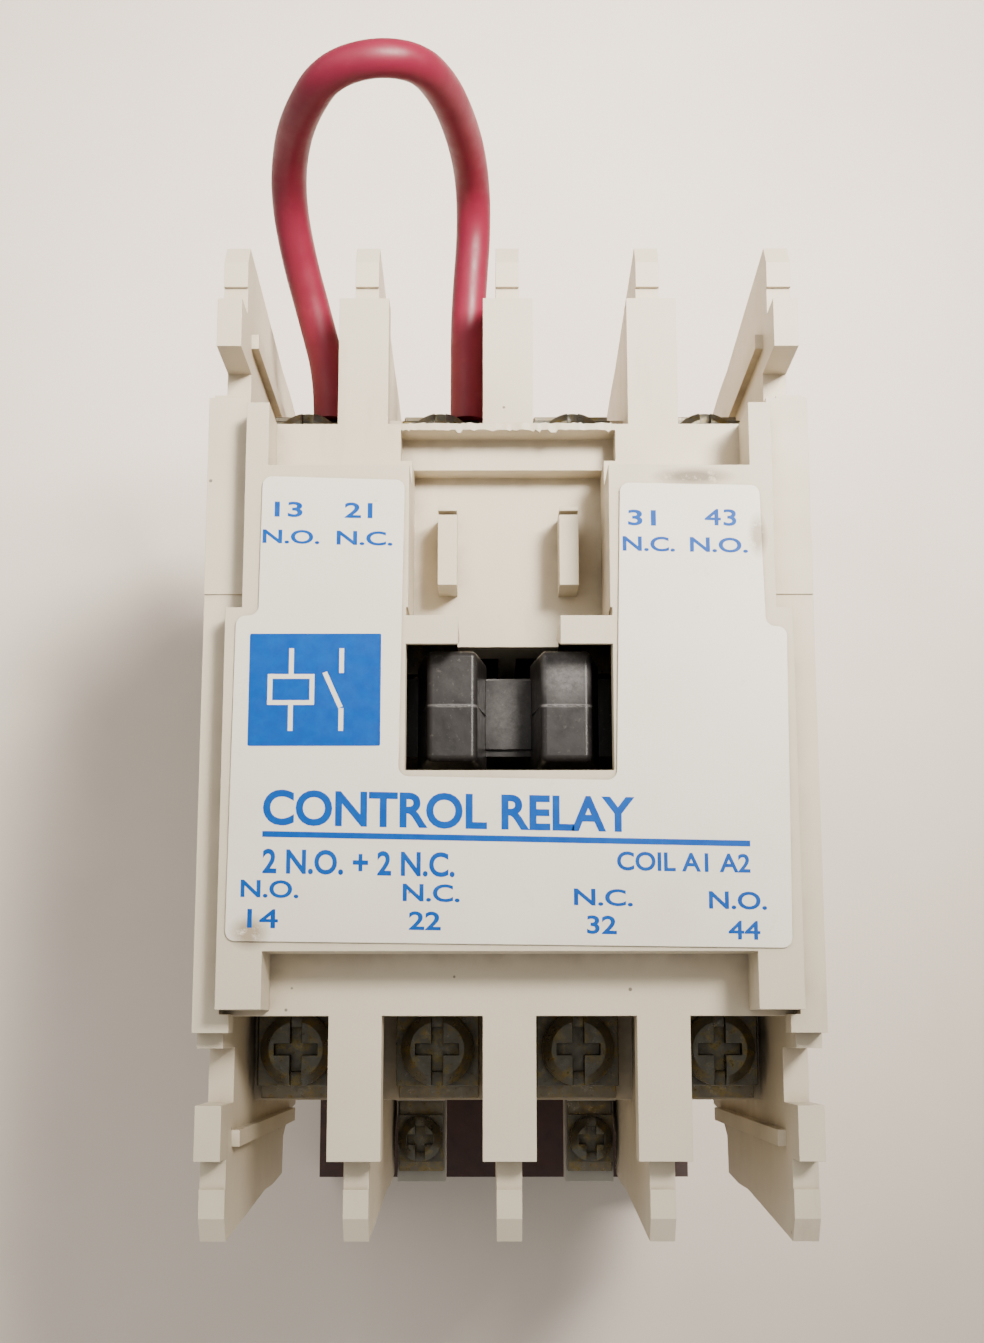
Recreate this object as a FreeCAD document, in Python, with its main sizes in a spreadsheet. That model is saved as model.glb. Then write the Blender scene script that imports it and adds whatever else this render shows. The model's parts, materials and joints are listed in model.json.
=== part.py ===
import FreeCAD, Part
import math
import os
import re
import Sketcher

# Four-pole industrial control relay, lying on its back.
# Frame: origin at the centre of the mounting plane, +Z towards the front cover,
# +X to the right and +Y towards the upper terminals. Millimetres.
#
# Layers from the back (low z) to the front: mounting base with the magnet and the
# coil, contact housing with the terminals and the crossbar, front cover, label.

SIZES = {
    # levels above the mounting plane
    "flange_top": 9.0,
    "split_level": 24.0,
    "shelf_bottom": 45.4,
    "plate_bottom": 53.8,
    "plate_top": 55.4,
    "track_floor": 68.0,
    "hook_bottom": 66.35,
    "fin_tip_top": 69.8,
    "bay_roof": 68.6,
    "strip_floor": 70.2,
    "rail_top": 72.0,
    "deck_top": 72.7,
    "ledge_top": 75.3,
    "cover_top": 78.0,
    # outline
    "half_width": 22.5,
    "half_length": 38.4,
    "body_half_length": 24.6,
    "pole_pitch": 11.12,
    # terminal bays and fins
    "fin_plate": 1.85,
    "fin_cap": 3.84,
    "outer_fin": 1.9,
    "hook_start": 28.6,
    "bay_start": 20.4,
    "bay_mouth": 22.3,
    "cap_end": 32.5,
    "shelf_end": 28.9,
    "terminal_reach": 24.8,
    # chambers inside the housing
    "chamber_half_width": 21.0,
    "chamber_half_length": 12.4,
    "magnet_room_half_width": 19.4,
    "magnet_room_half_length": 17.0,
    "magnet_room_top": 37.5,
    "pole_wall_bottom": 44.4,
    # accessory track in the front of the housing
    "track_half_width": 7.3,
    "track_low": 5.8,
    "tongue_half_width": 3.9,
    "tongue_bottom": 63.4,
    "rail_inner": 3.9,
    "rail_outer": 5.35,
    "rail_end": 15.9,
    "strip_half_width": 8.2,
    "strip_low": 19.35,
    "strip_high": 21.8,
    # mounting base
    "base_half_width": 19.2,
    "tower_half_width": 21.0,
    "tower_half_length": 24.4,
    "well_half_width": 16.4,
    "well_half_length": 15.0,
    "well_floor": 4.6,
    "mounting_x": 16.0,
    "mounting_y": 33.0,
    "mounting_hole": 2.25,
    "rail_half": 17.9,
    "rail_lip": 16.2,
    "rail_lip_top": 1.3,
    "rail_groove_top": 2.6,
    "case_screw_x": 15.5,
    "case_screw_y": 21.8,
    "case_screw_shank": 1.6,
    # magnet and coil
    "core_half_width": 15.6,
    "core_half_depth": 6.9,
    "core_leg_inner": 11.2,
    "centre_leg": 4.2,
    "core_bottom": 5.8,
    "core_yoke_top": 11.5,
    "core_top": 25.0,
    "armature_faces": 30.6,
    "armature_yoke": 35.0,
    "armature_top": 40.3,
    "bobbin_bottom": 11.7,
    "bobbin_top": 24.5,
    "bobbin_flange": 1.2,
    "coil_arm_x": 7.7,
    "coil_arm_half": 2.2,
    "coil_arm_top": 33.0,
    "coil_screw_y": 33.0,
    "pin_level": 37.8,
    "pin_radius": 1.2,
    # crossbar
    "web_half": 3.0,
    "web_bottom": 43.4,
    "web_top": 69.6,
    "wing_top": 72.2,
    "window_half": 2.9,
    "open_window_low": 60.25,
    "open_window_high": 67.1,
    "closed_window_low": 45.4,
    "closed_window_high": 54.45,
    "stud_top": 75.0,
    # contacts
    "plate_half": 3.2,
    "tip_reach": 8.0,
    "tip_radius": 1.6,
    "tip_height": 0.8,
    "bridge_half": 2.4,
    "bridge_reach": 9.9,
    "bridge_thickness": 1.2,
    "open_bridge_bottom": 60.35,
    "closed_bridge_top": 52.15,
    # terminal screws
    "head_radius": 2.85,
    "head_bottom": 57.5,
    "head_top": 60.0,
    "shank_radius": 1.72,
    "clamp_half": 3.3,
    "clamp_depth": 2.9,
    "clamp_bottom": 56.3,
    # front cover and label
    "cover_half_width": 20.5,
    "cover_low": 21.9,
    "cover_step": 6.7,
    "cover_arm_top": 17.4,
    "cover_arm_half": 19.3,
    "cover_leg_inner": 17.3,
    "cover_notch": 17.9,
    "cover_wall": 1.6,
    "cover_skin": 2.0,
    "cover_gap": 0.1,
    "ledge_end": 23.5,
    "ledge_seam": 8.3,
    "window_edge": 7.45,
    "window_low": 5.17,
    "label_thickness": 0.2,
    # jumper wire
    "wire_radius": 1.47,
    "strand_half": 0.7,
    "strand_thickness": 0.85,
    "latch_half": 5.6,
    "latch_shoulder": 7.2,
    "latch_front": 17.8,
    "latch_tail": 37.6,
}

# Poles from left to right: the outer ones close when the coil pulls in, the inner ones open.
POLES = {
    "1": {"place": "-1.5 * pole_pitch", "closed_at_rest": False, "upper": "13", "lower": "14",
          "bay": ("outer_fin - half_width", "-pole_pitch - fin_plate / 2")},
    "2": {"place": "-0.5 * pole_pitch", "closed_at_rest": True, "upper": "21", "lower": "22",
          "bay": ("fin_plate / 2 - pole_pitch", "-fin_plate / 2")},
    "3": {"place": "0.5 * pole_pitch", "closed_at_rest": True, "upper": "31", "lower": "32",
          "bay": ("fin_plate / 2", "pole_pitch - fin_plate / 2")},
    "4": {"place": "1.5 * pole_pitch", "closed_at_rest": False, "upper": "43", "lower": "44",
          "bay": ("pole_pitch + fin_plate / 2", "half_width - outer_fin")},
}
ENDS = {"upper": 1, "lower": -1}
SIDES = {"left": -1, "right": 1}

# Centre line of the jumper wire from terminal 13 to terminal 21. It leaves each bay
# straight outwards, and its loop bends as tightly as a short lead of stiff wire does.
WIRE_ROUTE = [
    (-15.0, 27.8, 56.9),
    (-15.0, 31.6, 56.9),
    (-16.4, 36.8, 57.8),
    (-17.7, 41.4, 60.4),
    (-18.3, 45.4, 63.6),
    (-17.6, 47.6, 68.2),
    (-16.2, 48.3, 72.8),
    (-14.0, 49.2, 77.0),
    (-10.4, 49.8, 78.3),
    (-6.9, 50.1, 77.0),
    (-5.1, 50.2, 72.8),
    (-4.0, 49.9, 68.2),
    (-3.2, 49.2, 63.6),
    (-2.8, 47.7, 59.4),
    (-2.8, 44.4, 57.2),
    (-3.1, 40.2, 57.2),
    (-3.3, 36.2, 57.2),
    (-3.3, 32.2, 56.9),
    (-3.3, 27.8, 56.9),
]

doc = FreeCAD.newDocument("control_relay")
sheet = doc.addObject("Spreadsheet::Sheet", "sizes")
nodes = {}


def fill_sheet():
    """Writes the driving dimensions into the sheet, one aliased cell each."""
    for row, (alias, value) in enumerate(SIZES.items(), start=1):
        sheet.set(f"A{row}", alias)
        sheet.set(f"B{row}", str(value))
        sheet.setAlias(f"B{row}", alias)
    doc.recompute()


def size(formula):
    """The value of a formula over the sheet's words, in millimetres."""
    return float(doc.sizes.evalExpression(linked(formula)))


def linked(formula):
    """The same formula with every word pointing at its cell."""
    return re.sub(r"[a-z][a-z_]+", lambda word: "sizes." + word.group(0), str(formula))


def block(name, x, y, z):
    """A box between two formulas along each axis."""
    box = doc.addObject("Part::Box", name)
    sides = (("Length", "x", x), ("Width", "y", y), ("Height", "z", z))
    for length, place, (low, high) in sides:
        box.setExpression(length, linked(f"({high}) - ({low})"))
        box.setExpression(f"Placement.Base.{place}", linked(low))
    return box


def mirrored_blocks(name, x, y, z):
    """The same box on the left and on the right."""
    low, high = x
    left = block(name + "_left", (f"-({high})", f"-({low})"), y, z)
    right = block(name + "_right", x, y, z)
    return [left, right]


def end_range(sign, low, high):
    """A distance range measured outwards along +Y or -Y."""
    if sign > 0:
        return (f"{low}", f"{high}")
    return (f"-({high})", f"-({low})")


def rod(name, radius, x, y, z):
    """An upright cylinder between two heights."""
    low, high = z
    cylinder = doc.addObject("Part::Cylinder", name)
    cylinder.setExpression("Radius", linked(radius))
    cylinder.setExpression("Height", linked(f"({high}) - ({low})"))
    cylinder.setExpression("Placement.Base.x", linked(x))
    cylinder.setExpression("Placement.Base.y", linked(y))
    cylinder.setExpression("Placement.Base.z", linked(low))
    return cylinder


def cross_rod(name, radius, x, y, z):
    """A cylinder along Y between two formulas."""
    low, high = y
    cylinder = doc.addObject("Part::Cylinder", name)
    quarter_turn = FreeCAD.Rotation(FreeCAD.Vector(1, 0, 0), -90)
    cylinder.Placement = FreeCAD.Placement(FreeCAD.Vector(), quarter_turn)
    cylinder.setExpression("Radius", linked(radius))
    cylinder.setExpression("Height", linked(f"({high}) - ({low})"))
    cylinder.setExpression("Placement.Base.x", linked(x))
    cylinder.setExpression("Placement.Base.y", linked(low))
    cylinder.setExpression("Placement.Base.z", linked(z))
    return cylinder


def prism(name, plane, outline, low, high):
    """A PartDesign body: an outline sketched on an origin plane and padded from low to high."""
    body = doc.addObject("PartDesign::Body", name)
    sketch = body.newObject("Sketcher::SketchObject", name + "_sketch")
    origin_plane = next(item for item in body.Origin.OriginFeatures if item.Role == plane)
    sketch.AttachmentSupport = [(origin_plane, "")]
    sketch.MapMode = "FlatFace"
    start = f"-({high})" if plane == "XZ_Plane" else low
    sketch.setExpression("AttachmentOffset.Base.z", linked(start))
    corners = [FreeCAD.Vector(across, up, 0) for across, up in outline]
    for corner, following in zip(corners, corners[1:] + corners[:1]):
        sketch.addGeometry(Part.LineSegment(corner, following))
    for index in range(len(corners)):
        following = (index + 1) % len(corners)
        sketch.addConstraint(Sketcher.Constraint("Coincident", index, 2, following, 1))
    pad = body.newObject("PartDesign::Pad", name + "_pad")
    pad.Profile = sketch
    pad.setExpression("Length", linked(f"({high}) - ({low})"))
    return body


def fuse(name, solids):
    """One solid out of several."""
    union = doc.addObject("Part::MultiFuse", name)
    union.Shapes = solids
    union.Refine = True
    return union


def cut(name, solid, tools):
    """The solid without the tools."""
    difference = doc.addObject("Part::Cut", name)
    difference.Base = solid
    difference.Tool = tools[0] if len(tools) == 1 else fuse(name + "_tools", tools)
    difference.Refine = True
    return difference


def group(name, solids):
    """Separate identical solids in one node."""
    compound = doc.addObject("Part::Compound", name)
    compound.Links = solids
    return compound


def keep(name, item):
    """Names a sub-part and lists it for export."""
    item.Label = name
    nodes[name] = item
    return item


# ---------------------------------------------------------------- mounting base

def mounting_base():
    """Phenolic base: flange with four screw holes, rail groove, latch channel and magnet well."""
    flange = block("base_flange", ("-base_half_width", "base_half_width"),
                   ("-half_length", "half_length"), (0, "flange_top"))
    tower = block("base_tower", ("-tower_half_width", "tower_half_width"),
                  ("-tower_half_length", "tower_half_length"), ("flange_top", "split_level"))
    rim = block("base_rim", ("0.4 - magnet_room_half_width", "magnet_room_half_width - 0.4"),
                ("0.4 - magnet_room_half_length", "magnet_room_half_length - 0.4"),
                ("split_level", "split_level + 3"))
    well = block("base_well", ("-well_half_width", "well_half_width"),
                 ("-well_half_length", "well_half_length"), ("well_floor", "split_level + 3"))
    groove = block("rail_groove", ("-tower_half_width", "tower_half_width"),
                   ("-rail_half", "rail_half"), ("rail_lip_top", "rail_groove_top"))
    mouth = block("rail_mouth", ("-tower_half_width", "tower_half_width"),
                  ("-rail_half", "rail_lip"), (0, "rail_lip_top"))
    channel = block("latch_channel", ("-latch_shoulder - 0.3", "latch_shoulder + 0.3"),
                    ("-half_length", "-rail_lip"), (1.7, 3.6))
    channel_slot = block("latch_slot", ("-latch_half - 0.3", "latch_half + 0.3"),
                         ("-half_length", "-rail_lip"), (0, 1.7))
    tools = [well, groove, mouth, channel, channel_slot]
    for across_name, across in SIDES.items():
        for end_name, along in ENDS.items():
            spot = f"{across_name}_{end_name}"
            tools.append(rod(f"mounting_hole_{spot}", "mounting_hole", f"{across} * mounting_x",
                             f"{along} * mounting_y", (0, "flange_top")))
            case_x = f"{across} * case_screw_x"
            case_y = f"{along} * case_screw_y"
            tools.append(rod(f"case_hole_{spot}", "case_screw_shank + 0.15", case_x, case_y,
                             (0, "split_level")))
            tools.append(rod(f"case_counterbore_{spot}", 3.2, case_x, case_y, (0, 5)))
    shell = cut("base_shell", fuse("base_mass", [flange, tower, rim]), tools)
    spring_post = block("latch_spring_post", (-1.2, 1.2), (-28.6, -27.4), (0.9, 3.6))
    keep("mounting_base", fuse("mounting_base", [shell, spring_post]))


def housing_screws():
    """Four long screws from the back of the base into the housing."""
    screws = []
    for across_name, across in SIDES.items():
        for end_name, along in ENDS.items():
            spot = f"{across_name}_{end_name}"
            place = (f"{across} * case_screw_x", f"{along} * case_screw_y")
            head = rod(f"case_head_{spot}", 2.9, *place, (2.6, 5))
            shank = rod(f"case_shank_{spot}", "case_screw_shank", *place, (5, 36))
            slot = rod(f"case_recess_{spot}", 1.2, *place, (2.6, 3.9))
            screws.append(cut(f"case_screw_{spot}", fuse(f"case_blank_{spot}", [head, shank]), [slot]))
    keep("housing_screws", group("housing_screws", screws))


def din_latch():
    """Sliding rail latch with shoulders, a spring window and a pull slot."""
    tongue = block("latch_tongue", ("-latch_half", "latch_half"),
                   ("-latch_tail", "-latch_front"), (0.2, 2))
    shoulders = block("latch_shoulders", ("-latch_shoulder", "latch_shoulder"),
                      ("-latch_tail", "-latch_front"), (2, 3.3))
    lip = block("latch_lip", ("-latch_half", "latch_half"), ("-latch_front", "-rail_lip"), (0.2, 1.2))
    window = block("latch_window", (-2.2, 2.2), (-32.1, -21.5), (0.2, 3.3))
    pull_slot = block("latch_pull_slot", (-2.6, 2.6), (-36.2, -34.8), (0.2, 3.3))
    solid = fuse("latch_mass", [tongue, shoulders, lip])
    keep("din_latch", cut("din_latch", solid, [window, pull_slot]))


# ---------------------------------------------------------------- magnet and coil

def e_outline(sole, yoke, tips):
    """Outline of an E lamination in the XZ plane, from its flat side to the tips of its legs."""
    outer = size("core_half_width")
    leg = size("core_leg_inner")
    middle = size("centre_leg")
    half = [(middle, tips), (middle, yoke), (leg, yoke), (leg, tips), (outer, tips), (outer, sole)]
    mirrored = [(-across, up) for across, up in reversed(half)]
    return half + mirrored


def shading_ring(name, side, allowance):
    """A copper loop let into the face of one outer leg, or the groove for it."""
    outer = (f"{side} * 13.4 - 1.7", f"{side} * 13.4 + 1.7")
    inner = (f"{side} * 13.4 - 0.8", f"{side} * 13.4 + 0.8")
    loop = block(name + "_loop", outer, (-6.1, 2.1), ("core_top - 1.6", f"core_top - {allowance}"))
    hole = block(name + "_hole", inner, (-5.2, 1.2), ("core_top - 1.6", f"core_top - {allowance}"))
    return cut(name, loop, [hole])


def magnet_core():
    """Fixed E core with its two shading rings, on a rubber cushion."""
    outline = e_outline(size("core_bottom"), size("core_yoke_top"), size("core_top"))
    blank = prism("core_blank", "XZ_Plane", outline, "-core_half_depth", "core_half_depth")
    grooves = [shading_ring(f"ring_groove_{name}", side, 0) for name, side in SIDES.items()]
    keep("fixed_core", cut("fixed_core", blank, grooves))
    rings = [shading_ring(f"ring_{name}", side, 0.1) for name, side in SIDES.items()]
    keep("shading_rings", group("shading_rings", rings))
    keep("core_cushion", block("core_cushion", (-15, 15), (-6.5, 6.5), ("well_floor", "core_bottom")))


def armature():
    """Moving E armature, cross-bored for the pin that ties it to the crossbar."""
    outline = e_outline(size("armature_top"), size("armature_yoke"), size("armature_faces"))
    blank = prism("armature_blank", "XZ_Plane", outline, "-core_half_depth", "core_half_depth")
    bore = cross_rod("armature_bore", "pin_radius + 0.03", 0, (-7, 7), "pin_level")
    keep("armature", cut("armature", blank, [bore]))
    keep("armature_pin", cross_rod("armature_pin", "pin_radius", 0, (-9, 9), "pin_level"))


def coil():
    """Bobbin with two terminal arms, its winding, and the coil's terminals."""
    lower_flange = block("bobbin_lower_flange", (-10.8, 10.8), (-14, 14),
                         ("bobbin_bottom", "bobbin_bottom + bobbin_flange"))
    upper_flange = block("bobbin_upper_flange", (-10.8, 10.8), (-14, 14),
                         ("bobbin_top - bobbin_flange", "bobbin_top"))
    tube = block("bobbin_tube", (-5.6, 5.6), (-8.3, 8.3), ("bobbin_bottom", "bobbin_top"))
    solids = [lower_flange, upper_flange, tube]
    core_room = block("bobbin_bore", ("-centre_leg - 0.3", "centre_leg + 0.3"),
                      ("-core_half_depth - 0.3", "core_half_depth + 0.3"),
                      ("bobbin_bottom", "bobbin_top"))
    tools = [core_room]
    for name, side in SIDES.items():
        across = (f"{side} * coil_arm_x - coil_arm_half", f"{side} * coil_arm_x + coil_arm_half")
        solids.append(block(f"arm_riser_{name}", across, (-14, -11),
                            ("bobbin_top - bobbin_flange", "coil_arm_top")))
        solids.append(block(f"arm_{name}", across, (-37, -11), ("coil_arm_top - 4.5", "coil_arm_top")))
        fence = f"{side} * coil_arm_x"
        solids.append(block(f"arm_fence_{name}", (f"{fence} - coil_arm_half", f"{fence} + coil_arm_half"),
                            (-29.6, -28.6), ("coil_arm_top", "coil_arm_top + 4.5")))
        tools.append(rod(f"arm_hole_{name}", 1.6, f"{side} * coil_arm_x", "-coil_screw_y",
                         ("coil_arm_top - 4.5", "coil_arm_top")))
        tools.append(block(f"arm_plate_slot_{name}", (f"{fence} - 2", f"{fence} + 2"),
                           (-29.6, -28.6), ("coil_arm_top", "coil_arm_top + 0.8")))
    keep("coil_bobbin", cut("coil_bobbin", fuse("bobbin_mass", solids), tools))
    turns = block("winding_mass", (-10.2, 10.2), (-13.4, 13.4),
                  ("bobbin_bottom + bobbin_flange", "bobbin_top - bobbin_flange"))
    rounded = doc.addObject("Part::Fillet", "winding_rounded")
    rounded.Base = turns
    doc.recompute()
    rounded.Edges = [(number, 3.0, 3.0) for number in upright_edges(turns)]
    bore = block("winding_bore", (-5.6, 5.6), (-8.3, 8.3), ("bobbin_bottom", "bobbin_top"))
    keep("coil_winding", cut("coil_winding", rounded, [bore]))


def upright_edges(item):
    """Numbers of the edges that run along Z."""
    found = []
    for number, edge in enumerate(item.Shape.Edges, start=1):
        box = edge.BoundBox
        if box.ZLength > box.XLength + box.YLength:
            found.append(number)
    return found


def coil_terminals():
    """Terminal plates A1 and A2 on the bobbin's arms, each with its screw and square washer."""
    for name, side in {"a1": -1, "a2": 1}.items():
        centre = f"{side} * coil_arm_x"
        across = (f"{centre} - 2", f"{centre} + 2")
        plate = block(f"coil_plate_{name}", across, (-36, -12), ("coil_arm_top", "coil_arm_top + 0.8"))
        hole = rod(f"coil_plate_hole_{name}", 1.5, centre, "-coil_screw_y",
                   ("coil_arm_top", "coil_arm_top + 0.8"))
        keep(f"coil_terminal_{name}", cut(f"coil_terminal_{name}", plate, [hole]))
        washer = block(f"coil_washer_{name}", (f"{centre} - 2.05", f"{centre} + 2.05"),
                       ("-coil_screw_y - 2.05", "-coil_screw_y + 2.05"),
                       ("coil_arm_top + 1.5", "coil_arm_top + 2.4"))
        washer_hole = rod(f"coil_washer_hole_{name}", 1.5, centre, "-coil_screw_y",
                          ("coil_arm_top + 1.5", "coil_arm_top + 2.4"))
        screw = slotted_screw(f"coil_blank_{name}", centre, "-coil_screw_y", 1.95, 1.42,
                              ("coil_arm_top - 3.5", "coil_arm_top + 2.4", "coil_arm_top + 4.2"))
        pair = [screw, cut(f"coil_square_{name}", washer, [washer_hole])]
        keep(f"coil_screw_{name}", group(f"coil_screw_{name}", pair))


def slotted_screw(name, x, y, head_radius, shank_radius, heights):
    """A pan-head screw with a combination recess: a cross with one long slot."""
    tip, under_head, top = heights
    head = rod(name + "_head", head_radius, x, y, (under_head, top))
    rounded = doc.addObject("Part::Chamfer", name + "_pan")
    rounded.Base = head
    doc.recompute()
    top_level = size(top)
    rim = [number for number, edge in enumerate(head.Shape.Edges, start=1)
           if edge.BoundBox.ZMin > top_level - 0.01]
    rounded.Edges = [(number, 0.5, 0.7) for number in rim]
    shank = rod(name + "_shank", shank_radius, x, y, (tip, under_head))
    solid = fuse(name + "_solid", [rounded, shank])
    slot = block(name + "_slot", (f"{x} - 0.45", f"{x} + 0.45"),
                 (f"{y} - {head_radius}", f"{y} + {head_radius}"), (f"{top} - 0.7", top))
    arm = f"0.6 * {head_radius}"
    bar = block(name + "_bar", (f"{x} - {arm}", f"{x} + {arm}"),
                (f"{y} - 0.45", f"{y} + 0.45"), (f"{top} - 1.1", top))
    stem = block(name + "_stem", (f"{x} - 0.45", f"{x} + 0.45"),
                 (f"{y} - {arm}", f"{y} + {arm}"), (f"{top} - 1.1", top))
    return cut(name, solid, [slot, bar, stem])


# ---------------------------------------------------------------- contact housing

def fin_outline(sign, inner, roof):
    """Outline of a fin plate in the YZ plane, stepped down its outer edge."""
    cap_end = size("cap_end")
    reach = size("half_length")
    tip = size("fin_tip_top")
    split = size("split_level")
    body = size("body_half_length")
    points = [
        (inner, split), (body, split), (body, 21.0), (30.5, 21.0), (31.0, 27.0), (33.0, 31.5),
        (36.3, 32.0), (36.7, 39.0), (36.7, 45.0), (37.6, 58.0), (reach, tip - 1.2),
        (reach - 1.7, tip), (34.64, tip), (34.64, tip - 0.3), (cap_end, tip - 0.3),
    ]
    return [(sign * along, up) for along, up in points + roof]


def fins():
    """Five fins at each end: three with wide caps, and the two outer ones with hooks."""
    solids = []
    deck = size("deck_top")
    strip = size("strip_floor")
    cap_end = size("cap_end")
    bay = size("bay_start")
    hook_start = size("hook_start")
    hook = size("hook_bottom")
    plain_roof = [(cap_end, strip), (bay, strip)]
    hook_roof = [(cap_end, deck), (hook_start, deck), (hook_start, hook), (bay, hook)]
    for end_name, sign in ENDS.items():
        for place in (-1, 0, 1):
            centre = f"{place} * pole_pitch"
            spot = f"{end_name}_{place + 1}"
            solids.append(prism(f"fin_{spot}", "YZ_Plane", fin_outline(sign, bay, plain_roof),
                                f"{centre} - fin_plate / 2", f"{centre} + fin_plate / 2"))
            solids.append(block(f"fin_cap_{spot}", (f"{centre} - fin_cap / 2", f"{centre} + fin_cap / 2"),
                                end_range(sign, "bay_start", "cap_end"), ("strip_floor", "deck_top")))
        for side_name, side in SIDES.items():
            spot = f"{end_name}_{side_name}"
            edges = ("half_width - outer_fin", "half_width") if side > 0 else (
                "-half_width", "outer_fin - half_width")
            solids.append(prism(f"outer_fin_{spot}", "YZ_Plane", fin_outline(sign, bay, hook_roof), *edges))
        solids.extend(mirrored_blocks(f"fin_rib_{end_name}",
                                      ("half_width - outer_fin - 0.6", "half_width - outer_fin"),
                                      end_range(sign, 30.6, 31.8), (27, "fin_tip_top - 3")))
    return solids


def pole_range(pole, half):
    """The stretch of X around a pole's centre."""
    place = pole["place"]
    return (f"{place} - ({half})", f"{place} + ({half})")


def housing_cavities():
    """Everything that is hollowed out of the housing's body."""
    tools = [
        block("contact_chamber", ("-chamber_half_width", "chamber_half_width"),
              ("-chamber_half_length", "chamber_half_length"), ("magnet_room_top", "deck_top")),
        block("magnet_room", ("-magnet_room_half_width", "magnet_room_half_width"),
              ("-magnet_room_half_length", "magnet_room_half_length"), ("split_level", "magnet_room_top")),
    ]
    tools.extend(mirrored_blocks("coil_notch", ("coil_arm_x - 2.4", "coil_arm_x + 2.4"),
                                 ("-body_half_length", "-magnet_room_half_length"),
                                 ("split_level", "coil_arm_top + 5")))
    tools.extend(mirrored_blocks("side_relief", ("half_width - 0.6", "half_width"),
                                 (-19, 19), (30, "shelf_bottom + 18")))
    for number, pole in POLES.items():
        for end_name, sign in ENDS.items():
            spot = f"{number}_{end_name}"
            tools.append(block(f"bay_{spot}", pole["bay"],
                               end_range(sign, "bay_start", "shelf_end"), ("plate_bottom", "bay_roof")))
            tools.append(block(f"bay_mouth_{spot}", pole["bay"],
                               end_range(sign, "bay_mouth", "shelf_end"), ("bay_roof", "deck_top")))
            tools.append(block(f"plate_slot_{spot}", pole_range(pole, "plate_half"),
                               end_range(sign, "chamber_half_length", "bay_start"),
                               ("plate_bottom", "plate_top")))
            tools.append(rod(f"screw_well_{spot}", 2.2, pole["place"], f"{sign} * terminal_reach",
                             ("shelf_bottom", "plate_bottom")))
    for across_name, across in SIDES.items():
        for end_name, along in ENDS.items():
            tools.append(rod(f"case_thread_{across_name}_{end_name}", "case_screw_shank",
                             f"{across} * case_screw_x", f"{along} * case_screw_y",
                             ("split_level", 36.5)))
    return tools


def housing_walls():
    """Walls that stand in or on the hollowed body."""
    walls = [
        block("track_bed", (-8.9, 8.9), ("track_low", "chamber_half_length"),
              ("track_floor - 1.6", "deck_top")),
        block("tongue_front", ("-tongue_half_width", "tongue_half_width"),
              ("track_low", "track_low + 1.6"), ("tongue_bottom", "track_floor")),
    ]
    for place in (-1, 0, 1):
        for end_name, sign in ENDS.items():
            walls.append(block(f"pole_wall_{place + 1}_{end_name}",
                               (f"{place} * pole_pitch - 0.7", f"{place} * pole_pitch + 0.7"),
                               end_range(sign, "track_low + 0.1", "chamber_half_length"),
                               ("pole_wall_bottom", "track_floor - 1.6")))
    walls.extend(mirrored_blocks("side_ledge", ("cover_half_width + cover_gap", "half_width"),
                                 ("-ledge_end", "ledge_seam"), ("deck_top", "ledge_top - 0.15")))
    walls.extend(mirrored_blocks("shoulder_ledge", ("cover_arm_half + cover_gap", "half_width"),
                                 ("cover_step + cover_gap", "ledge_seam"),
                                 ("deck_top", "ledge_top - 0.15")))
    walls.extend(mirrored_blocks("upper_ledge", ("cover_arm_half + cover_gap", "half_width"),
                                 ("ledge_seam", "ledge_end"), ("deck_top", "ledge_top")))
    walls.extend(mirrored_blocks("lower_ledge", (19.9, "cover_half_width + cover_gap"),
                                 ("-ledge_end", "-cover_low - 0.3"), ("deck_top", "ledge_top - 0.15")))
    return walls


def contact_housing():
    """Moulded housing: terminal bays and fins at both ends, contact chamber, accessory track."""
    body = block("housing_body", ("-half_width", "half_width"),
                 ("-body_half_length", "body_half_length"), ("split_level", "deck_top"))
    shelves = [block(f"shelf_{end_name}", ("outer_fin - half_width", "half_width - outer_fin"),
                     end_range(sign, "body_half_length", "shelf_end"), ("shelf_bottom", "plate_bottom"))
               for end_name, sign in ENDS.items()]
    hollow = cut("housing_hollow", fuse("housing_mass", [body] + shelves), housing_cavities())
    walled = fuse("housing_walled", [hollow] + housing_walls() + fins())
    track = block("track_pocket", ("-track_half_width", "track_half_width"),
                  ("track_low", "strip_low"), ("track_floor", "deck_top"))
    strip = block("strip_pocket", ("-strip_half_width", "strip_half_width"),
                  ("strip_low", "strip_high"), ("strip_floor", "deck_top"))
    shoulders = mirrored_blocks("tongue_shoulder", ("tongue_half_width", 8.9),
                                ("track_low", "track_low + 1.2"), ("track_floor - 1.6", "deck_top"))
    pocketed = cut("housing_pocketed", walled, [track, strip] + shoulders)
    rails = mirrored_blocks("track_rail", ("rail_inner", "rail_outer"),
                            (9.8, "rail_end"), ("track_floor", "rail_top"))
    railed = fuse("housing_railed", [pocketed] + rails)
    slots = mirrored_blocks("rail_slot", ("rail_inner", "rail_outer"),
                            ("rail_end - 0.6", "rail_end - 0.3"), ("rail_top - 1.2", "rail_top"))
    keep("contact_housing", cut("contact_housing", railed, slots))


# ---------------------------------------------------------------- crossbar and contacts

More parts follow.
